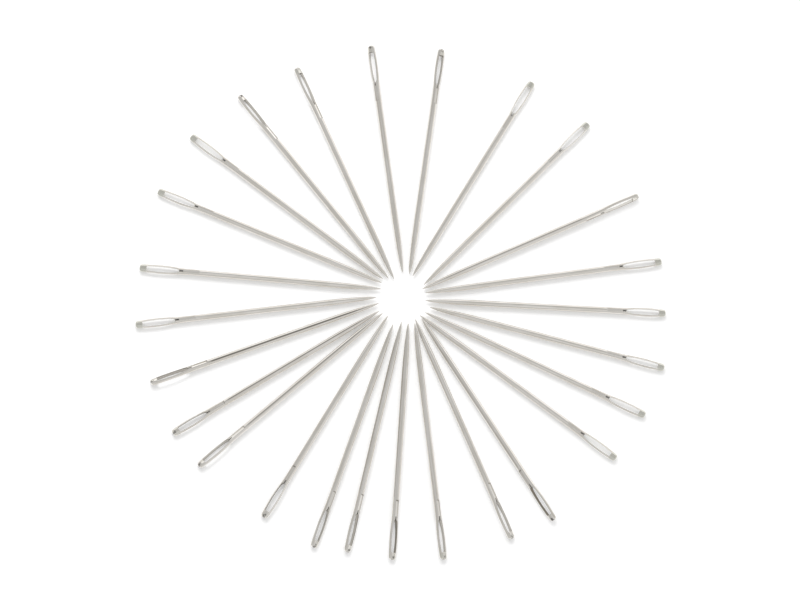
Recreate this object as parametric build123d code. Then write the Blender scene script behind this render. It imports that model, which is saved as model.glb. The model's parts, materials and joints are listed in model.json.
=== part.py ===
from build123d import *
from math import asin, cos, degrees, radians, sin, sqrt
import os

# A set of steel yarn needles lying on a table in a ring, their points towards the middle.
# Every needle is one piece of round wire: a ground point, a plain shank, and a head that is
# stamped wider and thinner and pierced by a long eye. Millimetres, +Z up. The origin is on the
# table, at the middle of the set.

# The whole needle.
needle_length = 70.0
shank_diameter = 1.85

# The point is a short curved tip, and a long shallow curve joins it to the shank.
tip_diameter = 0.1
point_length = 3.0
point_base_diameter = 1.02
taper_length = 17.0

# The head, counted back from its blunt end: the solid cap, the eye, and the gutter that is
# pressed into both faces to lead the yarn into the eye.
cap_length = 2.05
eye_length = 9.3
gutter_length = 5.9
gutter_width = 0.85
gutter_depth = 0.35
gutter_corner_radius = 0.15

# The stamped head is widest at the middle of the eye. Its swell starts a little before the
# gutter, and the shares say how far it has gone at the gutter's middle and at the eye's start.
swell_lead = 3.0
eye_start_width = 2.05
head_width = 2.6
cap_width = 2.35
end_width = 2.05
head_thickness = 1.5
gutter_swell_share = 0.2
gutter_thinning_share = 0.15
eye_start_thinning_share = 0.6

# The eye leaves an even rim of metal on each side. It is square at the cap and rounded at the
# shank, where it ends in a short narrow slit.
rim_width = 0.425
eye_corner_radius = 0.25
eye_shoulder_length = 0.45
eye_shoulder_radius = 0.3
slit_length = 1.2
slit_width = 0.34

# The blunt end is a low dome with a rounded edge.
end_dome_radius = 2.6
end_edge_radius = 0.4

# The ring that the points stand round.
point_ring_radius = 7.2

# Cutters and the blank run past the metal by this much.
overrun = 1.0

# One row for each needle, clockwise from the top of the ring: the heading from point to head
# in degrees from +X, the bearing of the point about the ring's middle in degrees, the point's
# distance from there as a share of the ring's radius, and the turn of the needle about its own
# axis in degrees. At no turn the eye faces straight up, and a positive turn tips it to the
# right of someone who looks from the point to the head.
needle_place_shares = [
    (97.0, 96, 1.00, -35),
    (81.5, 80, 0.95, 30),
    (59.0, 71, 0.90, 0),
    (45.5, 34, 0.90, 0),
    (24.5, 26, 0.75, 60),
    (8.5, 12, 0.80, 0),
    (357.5, 349, 0.80, 0),
    (345.5, 336, 1.05, 0),
    (334.5, 320, 1.00, 0),
    (323.0, 306, 0.95, 0),
    (302.0, 305, 1.10, 45),
    (292.5, 292, 1.00, -30),
    (276.0, 288, 1.15, -30),
    (265.5, 275, 1.10, -30),
    (256.5, 261, 1.05, -40),
    (250.5, 246, 1.25, -30),
    (239.0, 228, 1.05, 10),
    (221.0, 217, 1.15, 25),
    (212.0, 210, 1.20, 5),
    (200.5, 195, 1.10, 35),
    (187.5, 182, 1.15, 0),
    (175.5, 162, 1.00, 0),
    (157.5, 149, 1.10, 0),
    (142.5, 141, 1.15, 0),
    (128.0, 132, 1.00, 30),
    (113.5, 122, 0.85, 30),
]

# Places along the needle, counted from its point.
eye_end = needle_length - cap_length
eye_start = eye_end - eye_length
eye_middle = (eye_start + eye_end) / 2
gutter_start = eye_start - gutter_length
head_start = gutter_start - swell_lead

# The curve from the point's base to the full shank, which it meets without a step.
shank_radius = shank_diameter / 2
point_base_radius = point_base_diameter / 2
taper_rise = shank_radius - point_base_radius
taper_run = taper_length - point_length
taper_curve_radius = (taper_run**2 + taper_rise**2) / (2 * taper_rise)
taper_base_angle = asin(taper_run / taper_curve_radius)

# The head's cross-sections are ellipses: place along the needle, width and thickness.
swell = eye_start_width - shank_diameter
thinning = shank_diameter - head_thickness
head_sections = [
    (head_start, shank_diameter, shank_diameter),
    (gutter_start, shank_diameter, shank_diameter),
    (
        gutter_start + gutter_length / 2,
        shank_diameter + gutter_swell_share * swell,
        shank_diameter - gutter_thinning_share * thinning,
    ),
    (eye_start, eye_start_width, shank_diameter - eye_start_thinning_share * thinning),
    (eye_middle, head_width, head_thickness),
    (eye_end, cap_width, head_thickness),
    (needle_length + overrun, end_width, head_thickness),
]


def make_shank():
    """The point and the plain wire, turned about the needle's own axis."""
    tip = (0, tip_diameter / 2)
    base = (point_length, point_base_radius)
    shoulder = (taper_length, shank_radius)
    wire_end = (head_start, shank_radius)
    towards_tip = (-cos(taper_base_angle), -sin(taper_base_angle))
    outline = Curve() + [
        Line((0, 0), tip),
        TangentArc(base, tip, tangent=towards_tip),
        TangentArc(shoulder, base, tangent=(-1, 0)),
        Line(shoulder, wire_end),
        Line(wire_end, (head_start, 0)),
        Line((head_start, 0), (0, 0)),
    ]
    return revolve(make_face(outline), Axis.X)


def make_head_blank():
    """The head before it is pierced: a smooth swell, ended by a low dome with a rounded edge."""
    sections = []
    for place, width, thickness in head_sections:
        across = Plane(origin=(place, 0, 0), x_dir=(0, 1, 0), z_dir=(1, 0, 0))
        sections.append(across * Ellipse(width / 2, thickness / 2))
    dome_centre = needle_length - end_dome_radius
    along = Plane(origin=(0, 0, 0), x_dir=(0, 1, 0), z_dir=(1, 0, 0))
    sleeve = Cylinder(end_dome_radius, dome_centre, align=(Align.CENTER, Align.CENTER, Align.MIN))
    kept = along * sleeve + Pos(dome_centre, 0, 0) * Sphere(end_dome_radius)
    blank = loft(sections) & kept
    end_edges = blank.edges().filter_by(lambda edge: edge.center().X > dome_centre)
    return fillet(end_edges, end_edge_radius)


def make_eye_cutter():
    """The eye's outline through the whole head, with the slit that it ends in."""
    shoulder_half = eye_start_width / 2 - rim_width
    middle_half = head_width / 2 - rim_width
    square_half = cap_width / 2 - rim_width
    slit_half = slit_width / 2
    shoulder = eye_start + eye_shoulder_length
    side = Curve() + [
        Line((eye_start - slit_length, 0), (eye_start, slit_half)),
        Line((eye_start, slit_half), (shoulder, shoulder_half)),
        ThreePointArc((shoulder, shoulder_half), (eye_middle, middle_half), (eye_end, square_half)),
        Line((eye_end, square_half), (eye_end, 0)),
    ]
    outline = make_face(side + mirror(side, Plane.XZ))
    corners = outline.vertices().filter_by(lambda v: abs(v.X - eye_end) < eye_corner_radius)
    outline = fillet(corners, eye_corner_radius)
    shoulders = outline.vertices().filter_by(lambda v: abs(v.X - shoulder) < eye_corner_radius)
    outline = fillet(shoulders, eye_shoulder_radius)
    return extrude(outline, head_thickness, both=True)


def make_gutter_cutter():
    """One gutter: from its square end, over the eye and the cap, and out past the blunt end."""
    length = needle_length + overrun - gutter_start
    outline = RectangleRounded(length, gutter_width, gutter_corner_radius)
    floor = shank_radius - gutter_depth
    return Pos(gutter_start + length / 2, 0, floor) * extrude(outline, shank_diameter)


def make_needle():
    """One whole needle along +X, point at the origin, with its eye facing up."""
    gutter = make_gutter_cutter()
    blank = make_shank() + make_head_blank()
    return blank - make_eye_cutter() - gutter - mirror(gutter, Plane.XY)


def rest_pitch(turn):
    """How far the head end tips up, in radians, where the turned head is thicker than the wire."""
    head_reach = sqrt((head_width * sin(turn)) ** 2 + (head_thickness * cos(turn)) ** 2) / 2
    lift = head_reach - shank_radius
    if lift <= 0:
        return 0
    run = eye_middle - taper_length
    return (sqrt(run**2 + 2 * taper_curve_radius * lift) - run) / taper_curve_radius


def place_needle(needle, heading, bearing, distance_share, turn):
    """The needle set down on the table, where it lies on its shank, or on its taper and head."""
    pitch = degrees(rest_pitch(radians(turn)))
    laid = Rot(0, 0, heading) * Rot(0, -pitch, 0) * Rot(turn, 0, 0) * needle
    reach = distance_share * point_ring_radius
    aside = reach * cos(radians(bearing))
    ahead = reach * sin(radians(bearing))
    return Pos(aside, ahead, -laid.bounding_box().min.Z) * laid


def make_set():
    """All the needles in their places, with the middle of the set over the origin."""
    needle = make_needle()
    laid = [place_needle(needle, *row) for row in needle_place_shares]
    middle = Compound(laid).bounding_box().center()
    return [Pos(-middle.X, -middle.Y, 0) * needle for needle in laid]


os.makedirs("parts", exist_ok=True)
for number, needle in enumerate(make_set(), start=1):
    export_step(needle, f"parts/needle_{number:02d}.step")
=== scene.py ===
import json
from math import acos, cos, pi, radians, sin

import bmesh
import bpy
from mathutils import Matrix, Vector


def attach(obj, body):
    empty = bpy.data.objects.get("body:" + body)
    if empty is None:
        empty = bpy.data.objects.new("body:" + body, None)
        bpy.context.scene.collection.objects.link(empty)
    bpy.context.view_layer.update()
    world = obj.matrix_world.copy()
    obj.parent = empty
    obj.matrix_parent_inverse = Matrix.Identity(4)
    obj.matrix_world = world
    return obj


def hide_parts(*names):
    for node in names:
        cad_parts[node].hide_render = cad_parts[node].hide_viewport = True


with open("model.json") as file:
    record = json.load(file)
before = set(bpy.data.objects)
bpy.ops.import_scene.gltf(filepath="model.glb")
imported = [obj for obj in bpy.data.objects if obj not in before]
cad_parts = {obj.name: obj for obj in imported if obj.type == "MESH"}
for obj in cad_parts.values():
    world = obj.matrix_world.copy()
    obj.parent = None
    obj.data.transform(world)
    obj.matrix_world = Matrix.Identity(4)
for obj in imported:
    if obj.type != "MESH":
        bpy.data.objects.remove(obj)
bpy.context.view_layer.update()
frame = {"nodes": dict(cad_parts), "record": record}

# The camera looks down on the table from in front and a little from the left, with a long lens
# on a stand. It aims at the middle of the picture, at the height of the wires.
mm = 0.001
image_width = 800
focal_pixels = 4000
film_width = 36
camera_distance = 1153 * mm
camera_tilt = radians(17.0)
tilt_heading = radians(-16.0)
aim = Vector((-0.55, -0.66, 0.9)) * mm

camera = bpy.data.objects.new("camera", bpy.data.cameras.new("camera"))
camera.data.sensor_width = film_width
camera.data.lens = film_width * focal_pixels / image_width
turn_back = Matrix.Rotation(camera_tilt, 4, (cos(tilt_heading), sin(tilt_heading), 0))
camera.matrix_world = Matrix.Translation(aim + turn_back @ Vector((0, 0, camera_distance))) @ turn_back
bpy.context.scene.collection.objects.link(camera)
bpy.context.scene.camera = camera

# The blank of a needle: steel wire, ground to a long taper and a fine curved point at one end,
# and pressed wider and thinner at the other, where the blunt end is tumbled to a low dome. Its
# skin is drawn out ring by ring along +X, and a subdivision surface rounds it at the end.
wire_radius = 0.925 * mm
tip_radius = 0.05 * mm
point_length = 3 * mm
point_base_radius = 0.51 * mm
taper_length = 17 * mm
head_start = 49.75 * mm
gutter_start = 52.75 * mm
gutter_half = 0.425 * mm
slit_start = 57.45 * mm
eye_start = 58.65 * mm
eye_end = 67.95 * mm

taper_run = taper_length - point_length
taper_rise = wire_radius - point_base_radius
base_slope = 2 * taper_rise / taper_run
tip_curl = (point_base_radius - tip_radius - base_slope * point_length) / point_length**2


def ground_radius(place):
    """The radius that grinding leaves, at a place counted from the point."""
    if place >= taper_length:
        return wire_radius
    if place >= point_length:
        return wire_radius - taper_rise * ((taper_length - place) / taper_run) ** 2
    back = point_length - place
    return point_base_radius - base_slope * back - tip_curl * back**2


# Each ring has its place, its half width and half thickness, and half the width of the strip on
# its top and its underside that the gutter and the eye are made in. The tables are in millimetres.
ground_places = (0, 0.35, 0.9, 1.7, 2.6, 3.6, 5.5, 8, 11, 14)
shank_places = (17, 21, 27, 34, 41, 46, head_start / mm, 52.2, 52.62)
head_rows = (
    (gutter_start / mm, 0.925, 0.925, 0.425),
    (53.0, 0.925, 0.924, 0.425),
    (54.4, 0.930, 0.915, 0.425),
    (55.7, 0.945, 0.899, 0.425),
    (56.9, 0.968, 0.870, 0.425),
    (slit_start / mm, 0.983, 0.855, 0.425),
    (58.1, 1.003, 0.837, 0.425),
    (eye_start / mm, 1.028, 0.820, 0.440),
    (59.1, 1.060, 0.808, 0.640),
    (59.6, 1.098, 0.796, 0.695),
    (61.2, 1.213, 0.762, 0.820),
    (63.3, 1.300, 0.750, 0.905),
    (65.6, 1.270, 0.750, 0.870),
    (67.2, 1.208, 0.750, 0.800),
    (67.8, 1.181, 0.750, 0.770),
    (eye_end / mm, 1.175, 0.750, 0.765),
    (68.08, 1.170, 0.750, 0.425),
    (68.7, 1.146, 0.750, 0.425),
    (69.3, 1.098, 0.735, 0.425),
    (69.62, 1.010, 0.690, 0.425),
)
strip_share = gutter_half / wire_radius
rings = []
for place in ground_places + shank_places:
    radius = ground_radius(place * mm)
    rings.append([place * mm, radius, radius, strip_share * radius])
for row in head_rows:
    rings.append([size * mm for size in row])

# The dome closes in past the last ring: the place of each of its rings, and its share of that
# last ring's width and thickness.
dome_rings = ((69.83 * mm, 0.80), (69.93 * mm, 0.55), (69.98 * mm, 0.25))

# The subdivision draws a ring in, so its corners stand out by the slack.
ring_sides = 24
strip_sides = 4
half_ring = ring_sides // 2
round_slack = 3 / (2 + cos(2 * pi / ring_sides))


def ring_point(corner, place, half_width, half_thickness, half_strip, share=1):
    """Where a ring's corner lies. The first corners cross the strip on top, from left to right."""
    step = corner % half_ring
    side = -share if corner >= half_ring else share
    if step <= strip_sides:
        across = half_strip * (1 - 2 * step / strip_sides)
        up = half_thickness * (1 - (across / half_width) ** 2) ** 0.5
    else:
        turn = 1 - 2 * (step - strip_sides) / (half_ring - strip_sides)
        angle = turn * acos(half_strip / half_width)
        across, up = -half_width * cos(angle), half_thickness * sin(angle)
    return Vector((place, side * across * round_slack, side * up * round_slack))


bm = bmesh.new()
loop = bmesh.ops.create_circle(bm, segments=ring_sides, radius=wire_radius)["verts"]
skin = [loop]
for ring in (*rings[1:], *dome_rings):
    edges = [bm.edges.get((loop[i], loop[i - 1])) for i in range(ring_sides)]
    made = set(bmesh.ops.extrude_edge_only(bm, edges=edges)["geom"])
    loop = [next(e.other_vert(v) for e in v.link_edges if e.other_vert(v) in made) for v in loop]
    skin.append(loop)
for loop, ring in zip(skin, rings):
    for corner, vert in enumerate(loop):
        vert.co = ring_point(corner, *ring)
for loop, (place, share) in zip(skin[len(rings):], dome_rings):
    for corner, vert in enumerate(loop):
        vert.co = ring_point(corner, place, *rings[-1][1:], share)
bmesh.ops.holes_fill(bm, edges=bm.edges, sides=ring_sides)

# The gutter that leads the yarn in: a groove pressed along the strip in both faces. It starts
# square, and runs on past the eye and out over the blunt end. In its floor, before the eye, a slit
# starts narrow and widens towards the eye.
gutter_floor = 0.575 * mm
wall_lean = 0.045 * mm
lip_round = 0.05 * mm
slit_half = 0.17 * mm
slit_tip_half = 0.03 * mm
lip_crease, floor_crease = 0.35, 0.6
places = [ring[0] for ring in rings]
gutter_ring, slit_ring = places.index(gutter_start), places.index(slit_start)
eye_ring, eye_end_ring = places.index(eye_start), places.index(eye_end)
crease = bm.edges.layers.float.new("crease_edge")


def strip_faces(start, end, columns, side):
    """The faces of the strip's columns between two rings, on top for side 0, below for side 1."""
    found = []
    for near, far in zip(skin[start:end], skin[start + 1:end + 1]):
        for column in columns:
            left, right = side * half_ring + column, side * half_ring + column + 1
            found.append(bm.faces.get((near[left], near[right], far[right], far[left])))
    return found


opened = []
for side in (0, 1):
    up = -1 if side else 1
    strip = strip_faces(gutter_ring, len(rings) - 1, range(strip_sides), side)
    slit = strip_faces(slit_ring, eye_ring, (1, 2), side)
    eye = strip_faces(eye_ring, eye_end_ring, range(strip_sides), side)
    opened += slit + eye
    slit_edge = [skin[k][side * half_ring + c] for k in range(slit_ring, eye_ring + 1) for c in (1, 3)]
    lips = {edge for face in strip for edge in face.edges if sum(f in strip for f in edge.link_faces) == 1}
    bmesh.ops.inset_region(bm, faces=strip, thickness=wall_lean, use_even_offset=True)
    for edge in lips:
        edge[crease] = lip_crease
    floor = {vert for face in strip for vert in face.verts}
    for vert in floor:
        vert.co.z = up * min(gutter_floor, abs(vert.co.z) - lip_round)
    floor_edges = {edge for face in strip for edge in face.edges}
    for edge in floor_edges:
        if not all(face in strip for face in edge.link_faces):
            edge[crease] = floor_crease
    for vert in slit_edge:
        opening = (vert.co.x - slit_start) / (eye_start - slit_start)
        half = slit_tip_half + (slit_half - slit_tip_half) * opening
        vert.co.y = half if vert.co.y > 0 else -half

# The eye is punched through between its two rims, together with the short slit that the gutter
# ends in. The walls of the hole are marked, as they are rougher than the skin and carry painted shade.
bmesh.ops.delete(bm, geom=opened, context="FACES")
rim_edges = [edge for edge in bm.edges if len(edge.link_faces) == 1]
for edge in rim_edges:
    edge[crease] = floor_crease
punched = bm.faces.layers.float.new("punched")
for face in bmesh.ops.bridge_loops(bm, edges=rim_edges)["faces"]:
    face[punched] = 1
bmesh.ops.recalc_face_normals(bm, faces=bm.faces)

needle_mesh = bpy.data.meshes.new("needle")
bm.to_mesh(needle_mesh)
bm.free()
needle_mesh.shade_smooth()
wire = needle_mesh.attributes.new("wire", "FLOAT_VECTOR", "POINT")
wire.data.foreach_set("vector", [c / mm for vert in needle_mesh.vertices for c in vert.co])

# Nickel over polished steel. The wire was drawn and polished lengthwise, so its streaks run along
# it, and the point has the marks of grinding. The gutter's end wall and the walls of the eye are
# rougher and carry painted shade, lit or shaded needle by needle. A painted dark reflection runs
# along some shanks, painted shade greys the blunt end, and painted shade and dark reflections make
# the slit and spots on the blunt end nearly black.


class Field:
    """A value that varies from place to place: an output socket of a node tree."""

    def __init__(self, tree, socket):
        self.tree, self.socket = tree, socket

    def node(self, kind, settings, sockets, out=0):
        """Any other node in the same tree: its type, its settings and what its sockets take."""
        made = self.tree.nodes.new(kind)
        for name, value in settings.items():
            setattr(made, name, value)
        for name, value in sockets.items():
            if isinstance(value, Field):
                self.tree.links.new(value.socket, made.inputs[name])
            else:
                made.inputs[name].default_value = value
        return Field(self.tree, made.outputs[out])

    def feed(self, socket):
        self.tree.links.new(self.socket, socket)

    def math(self, operation, *values):
        return self.node("ShaderNodeMath", {"operation": operation}, dict(enumerate(values)))

    def vector(self, operation, *values, out=0):
        operands = dict(enumerate((self, *values)))
        return self.node("ShaderNodeVectorMath", {"operation": operation}, operands, out)

    def dot(self, vector):
        return self.vector("DOT_PRODUCT", vector, out="Value")

    def __add__(self, other):
        return self.math("ADD", self, other)

    def __sub__(self, other):
        return self.math("SUBTRACT", self, other)

    def __rsub__(self, other):
        return self.math("SUBTRACT", other, self)

    def __mul__(self, other):
        return self.math("MULTIPLY", self, other)

    def __abs__(self):
        return self.math("ABSOLUTE", self)

    __radd__, __rmul__ = __add__, __mul__

    def most(self, other):
        return self.math("MAXIMUM", self, other)

    def ramp(self, low, high):
        """Nothing at low and one at high, with a smooth rise, or fall, between."""
        stops = {0: self, 1: low, 2: high}
        return self.node("ShaderNodeMapRange", {"interpolation_type": "SMOOTHSTEP"}, stops)

    def noise(self, stretch, grain, detail=2):
        """Cloudy noise, about one half on average, stretched along each axis."""
        return self.node("ShaderNodeTexNoise", {"noise_dimensions": "4D"}, {
            "Vector": self.vector("MULTIPLY", stretch), "W": grain, "Scale": 1, "Detail": detail})

    def blend(self, first, second):
        """A colour between two others, with this value as the second one's share."""
        return self.node("ShaderNodeMix", {"data_type": "RGBA"}, {0: self, 6: first, 7: second}, out=2)

    def attribute(self, name, out="Fac"):
        """What the mesh carries under this name."""
        return self.node("ShaderNodeAttribute", {"attribute_name": name}, {}, out)


plain_nickel = (0.74, 0.71, 0.66, 1)
bright_nickel = (0.85, 0.825, 0.785, 1)
dull_nickel = (0.70, 0.665, 0.60, 1)
# Painted shade: the grey that the blunt end is given.
cap_shade_grey = (0.60, 0.61, 0.54, 1)
# Painted reflection: the colour of the dark line along some shanks.
dark_line_black = (0.13, 0.11, 0.09, 1)
# Lit and shaded copies of the eye walls' nickel: painted light and shade.
lit_wall = (0.82, 0.80, 0.76, 1)
shaded_wall = (0.16, 0.14, 0.11, 1)
# The black of the painted shade in the slit and of the painted dark spots on the blunt end.
near_black = (0.035, 0.03, 0.028, 1)

# How often each pattern changes in a millimetre, along the wire and in both directions across it,
# and the levels of cloudy noise at which three of them start to show and show in full.
broad_streak_rate = (0.03, 3.2, 3.2)
fine_streak_rate = (0.15, 15, 15)
patch_rate = (0.16, 0.6, 0.6)
grinding_rate = (9, 0.8, 0.8)
dark_spot_rate = (2.2, 2.2, 2.2)
streak_levels, patch_levels, dark_spot_levels = (0.38, 0.64), (0.42, 0.66), (0.38, 0.54)

# Where each mark starts to show and where it shows in full, in millimetres along the wire or
# across it. The painted dark line's width is the cosine of the angle round the wire.
gutter_place, slit_place, eye_place = gutter_start / mm, slit_start / mm, eye_start / mm
cap_place = eye_end / mm
grinding_span = (14, 4)
dark_line_rise, dark_line_fall = (2, 9), (gutter_place + 0.25, gutter_place - 1.75)
dark_line_width = (0.955, 0.996)
gutter_end_shade_rise, gutter_end_shade_fall = (gutter_place - 0.13, gutter_place - 0.01), (gutter_place + 0.23, gutter_place + 0.11)
gutter_end_shade_side = (0.52, 0.46)
slit_rise, slit_fall = (slit_place - 0.15, slit_place + 0.05), (eye_place + 0.3, eye_place + 0.15)
slit_side = (0.24, 0.17)
cap_rise = (cap_place - 0.05, cap_place + 0.25)
dark_spot_rise, dark_spot_side = (cap_place + 0.75, cap_place + 1.35), (0.5, 0.3)

# How much of each finish shows where it shows in full.
patch_share, dark_line_share, cap_shade_share, gutter_end_shade_share, dark_spot_share = 0.5, 0.75, 0.6, 0.7, 0.9
# How much painted shade the slit takes, on a needle without and with full painted cap shade.
plain_slit_shade_share, dark_cap_slit_shade_share = 0.8, 0.2
scratch_share, scratch_depth = 0.15, 0.001 * mm

steel = bpy.data.materials.new("nickel_steel")
steel.use_nodes = True
shader = steel.node_tree.nodes["Principled BSDF"]
start = Field(steel.node_tree, None)
spot, mark = start.attribute("wire", "Vector"), start.attribute("mark", "Vector")
grain, mark_depth = start.attribute("grain"), start.attribute("mark_depth")
wall = start.attribute("punched")
cap_tarnish, eye_tarnish = start.attribute("cap_tarnish"), start.attribute("eye_tarnish")

along, across = spot.dot((1, 0, 0)), abs(spot.dot((0, 1, 0)))
around = spot.vector("MULTIPLY", (0, 1, 1)).vector("NORMALIZE")
broad_streaks = spot.noise(broad_streak_rate, grain).ramp(*streak_levels)
fine_streaks = spot.noise(fine_streak_rate, grain, detail=3)
patches = spot.noise(patch_rate, grain).ramp(*patch_levels)
grinding = spot.noise(grinding_rate, grain) * along.ramp(*grinding_span)
# A dark line along the shank, at a set angle round the wire: a painted dark reflection.
painted_dark_line = around.dot(mark).ramp(*dark_line_width) * along.ramp(*dark_line_fall) * along.ramp(*dark_line_rise)
# The end wall at the gutter's start: painted shadow.
gutter_end_shade = along.ramp(*gutter_end_shade_rise) * along.ramp(*gutter_end_shade_fall) * across.ramp(*gutter_end_shade_side)
# Painted shade in the slit.
slit_shade = along.ramp(*slit_rise) * along.ramp(*slit_fall) * across.ramp(*slit_side)
# Dark spots in the groove on the blunt end: painted dark reflections and shade.
cap_dark_spots = spot.noise(dark_spot_rate, grain).ramp(*dark_spot_levels) * along.ramp(*dark_spot_rise) * across.ramp(*dark_spot_side)
slit_share = plain_slit_shade_share - (plain_slit_shade_share - dark_cap_slit_shade_share) * cap_tarnish
dull_and_shaded_edge = wall.most(gutter_end_shade_share * gutter_end_shade)
black = (slit_shade * slit_share).most(dark_spot_share * cap_dark_spots * cap_tarnish)

plating = broad_streaks.blend(plain_nickel, bright_nickel)
plating = (patch_share * patches).blend(plating, dull_nickel)
# The painted dark reflection along the shank.
plating = (dark_line_share * painted_dark_line * mark_depth).blend(plating, dark_line_black)
# Painted shade: the blunt end is greyer, the less painted cap shade its needle has.
plating = (cap_shade_share * along.ramp(*cap_rise) * (1 - cap_tarnish)).blend(plating, cap_shade_grey)
# The walls of the eye and the gutter's end wall, painted lit or shaded needle by needle, and rougher.
finish = dull_and_shaded_edge.blend(plating, eye_tarnish.blend(lit_wall, shaded_wall))
# Near black where the slit's painted shade and the blunt end's painted dark spots lie.
black.blend(finish, near_black).feed(shader.inputs["Base Color"])
roughness = 0.03 + 0.05 * fine_streaks + 0.02 * patches + 0.05 * grinding + 0.1 * dull_and_shaded_edge
roughness.feed(shader.inputs["Roughness"])
relief = fine_streaks + 0.6 * grinding
scratches = relief.node("ShaderNodeBump", {}, {
    "Strength": scratch_share, "Distance": scratch_depth, "Height": relief})
scratches.feed(shader.inputs["Normal"])
shader.inputs["Metallic"].default_value = 1
needle_mesh.materials.append(steel)

# The set of needles: each lies loose on the table, where the mounts of its node put it. Some carry
# more painted shade and dark reflections than others, and a needle whose values are all nought has no row in
# the table.
mounts = {mount["name"]: mount for mount in frame["record"]["mounts"]}
shank_middle = (taper_length + head_start) / 2

# Where the painted dark line lies, in degrees from the eye's face towards the needle's left, how
# strong it is, and how strong the painted shade on the blunt end and on the walls of the eye is.
no_painted_shade = (0, 0, 0, 0)
painted_shade_table = {
    "needle_01": (0, 0, 0.8, 0.4),
    "needle_02": (0, 0, 0.8, 0.55),
    "needle_05": (67, 0.4, 0.6, 0.35),
    "needle_11": (4, 0.3, 0.9, 1.0),
    "needle_12": (0, 0, 0.7, 0.5),
    "needle_13": (0, 0, 0.5, 0.5),
    "needle_14": (-75, 0.4, 0.7, 0.85),
    "needle_15": (-80, 0.4, 0.8, 0.65),
    "needle_16": (0, 0, 0.9, 0.6),
    "needle_17": (0, 0, 0.8, 0.75),
    "needle_18": (20, 0.45, 0.9, 0.5),
    "needle_19": (-5, 0.7, 0.7, 0.5),
    "needle_20": (38, 1.0, 0.9, 0.65),
    "needle_25": (0, 0, 1.0, 0.55),
    "needle_26": (0, 0, 0.5, 0.45),
}
for node in frame["nodes"]:
    shank, eye = mounts[f"{node}_shank"], mounts[f"{node}_eye"]
    forwards = -Vector(shank["axis"])
    up = Vector(eye["axis"])
    lay = Matrix((forwards, up.cross(forwards), up)).transposed().to_4x4()
    lay.translation = Vector(shank["pos_m"]) - shank_middle * forwards
    mark_turn, dark_line_level, cap_shade_level, eye_shade_level = painted_shade_table.get(node, no_painted_shade)
    mark_turn = radians(mark_turn)
    number = float(node[-2:])
    mesh = needle_mesh.copy()
    for name, kind, key, value in (
        ("grain", "FLOAT", "value", (number,)),
        ("mark", "FLOAT_VECTOR", "vector", (0, sin(mark_turn), cos(mark_turn))),
        ("mark_depth", "FLOAT", "value", (dark_line_level,)),
        ("cap_tarnish", "FLOAT", "value", (cap_shade_level,)),
        ("eye_tarnish", "FLOAT", "value", (eye_shade_level,)),
    ):
        mesh.attributes.new(name, kind, "POINT").data.foreach_set(key, value * len(mesh.vertices))
    mesh.transform(lay)
    needle = bpy.data.objects.new(f"{node}_wire", mesh)
    bpy.context.scene.collection.objects.link(needle)
    rounding = needle.modifiers.new("rounding", "SUBSURF")
    rounding.levels = rounding.render_levels = 2
    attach(needle, node)
    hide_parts(node)

# The table top is a large smooth white board. Where the camera or the wires see it, it has a little
# glow of its own, as an overexposed board has, so it is pure white and still takes the shadows.
board_half = 4
board_white = 0.97
board_glow = 0.15

bm = bmesh.new()
bmesh.ops.create_grid(bm, x_segments=1, y_segments=1, size=board_half)
board_mesh = bpy.data.meshes.new("board")
bm.to_mesh(board_mesh)
bm.free()
board = bpy.data.objects.new("board", board_mesh)
bpy.context.scene.collection.objects.link(board)
lacquer = bpy.data.materials.new("board_white")
lacquer.use_nodes = True
paint = lacquer.node_tree.nodes["Principled BSDF"]
paint.inputs["Base Color"].default_value = (board_white, board_white, board_white, 1)
paint.inputs["Roughness"].default_value = 1
paint.inputs["Specular IOR Level"].default_value = 0
paint.inputs["Emission Strength"].default_value = board_glow
start = Field(lacquer.node_tree, None)
seen = start.node("ShaderNodeLightPath", {}, {}, out="Is Camera Ray")
mirrored = start.node("ShaderNodeLightPath", {}, {}, out="Is Glossy Ray")
seen.most(mirrored).feed(paint.inputs["Emission Color"])
board_mesh.materials.append(lacquer)

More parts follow.
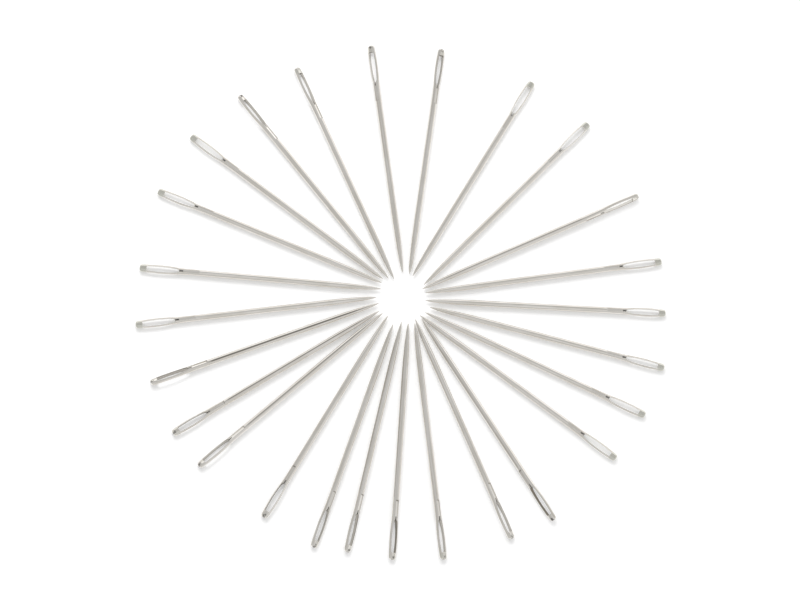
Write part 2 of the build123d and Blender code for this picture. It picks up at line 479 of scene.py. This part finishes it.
# The room is pale, with a bright wall across the back up to about 47 degrees, a shade along the
# ceiling above it, and low down a white cove, which is the background. Each edge starts and ends
# at a height, or a reach back or aside, of a direction that is one long.
room_level = 0.79
room_lean = (0.19, 0.17, -0.31)
high_lean = (-0.17, -0.36, 0.20)
wall_level = 0.42
wall_heading, wall_half_width = radians(82), radians(44)
wall_top = sin(radians(47))
wall_upper_edge, wall_side_edge = (wall_top + 0.02, wall_top - 0.02), (0.12, -0.12)
shade_share = 0.3
shade_lower_edge, shade_upper_edge = (wall_top - 0.01, wall_top + 0.03), (wall_top + 0.13, wall_top + 0.07)
shade_side_edge = (0.3, -0.1)
front_level = 0.05
front_edge, front_lower_edge = (-0.3, -0.6), (0.3, 0.5)
cove_edge = (0.10, 0)
background_white = (1, 1, 1, 1)

world = bpy.data.worlds.new("studio")
world.use_nodes = True
start = Field(world.node_tree, None)
where = start.node("ShaderNodeTexCoord", {}, {}, out="Generated")
height = where.dot((0, 0, 1))
backwards = where.dot((cos(wall_heading), sin(wall_heading), 0))
sideways = abs(where.dot((-sin(wall_heading), cos(wall_heading), 0)))
beside = sideways * cos(wall_half_width) - backwards * sin(wall_half_width)
room = room_level + where.dot(room_lean) + height * where.dot(high_lean)
shade = height.ramp(*shade_lower_edge) * height.ramp(*shade_upper_edge) * beside.ramp(*shade_side_edge)
room = room * (1 - shade_share * shade)
room = room + front_level * backwards.ramp(*front_edge) * height.ramp(*front_lower_edge)
room = room + wall_level * height.ramp(*wall_upper_edge) * beside.ramp(*wall_side_edge)
room = room + height.ramp(*cove_edge) * (1 - room)
straight = start.node("ShaderNodeLightPath", {}, {}, out="Is Camera Ray")
straight.blend(room, background_white).feed(world.node_tree.nodes["Background"].inputs["Color"])
bpy.context.scene.world = world

# The lamp: a soft panel in front of the back wall, which throws the shadows forwards. Neither the
# camera nor the wires see it. Its share is of the light that makes a white board just white.
key_heading, key_elevation, key_distance = radians(105), radians(47), 0.9
key_wide, key_high = 0.6, 0.36
key_share = 0.30

key = bpy.data.objects.new("key", bpy.data.lights.new("key", "AREA"))
key.data.shape = "RECTANGLE"
key.data.size, key.data.size_y = key_wide, key_high
key.data.energy = key_share * key_distance**2 * pi**2 / sin(key_elevation)
key.location = key_distance * Vector((
    cos(key_heading) * cos(key_elevation), sin(key_heading) * cos(key_elevation), sin(key_elevation)))
key.rotation_mode = "QUATERNION"
key.rotation_quaternion = key.location.to_track_quat("Z", "Y")
key.visible_camera = False
key.visible_glossy = False
bpy.context.scene.collection.objects.link(key)

bpy.context.scene.view_settings.view_transform = "Standard"
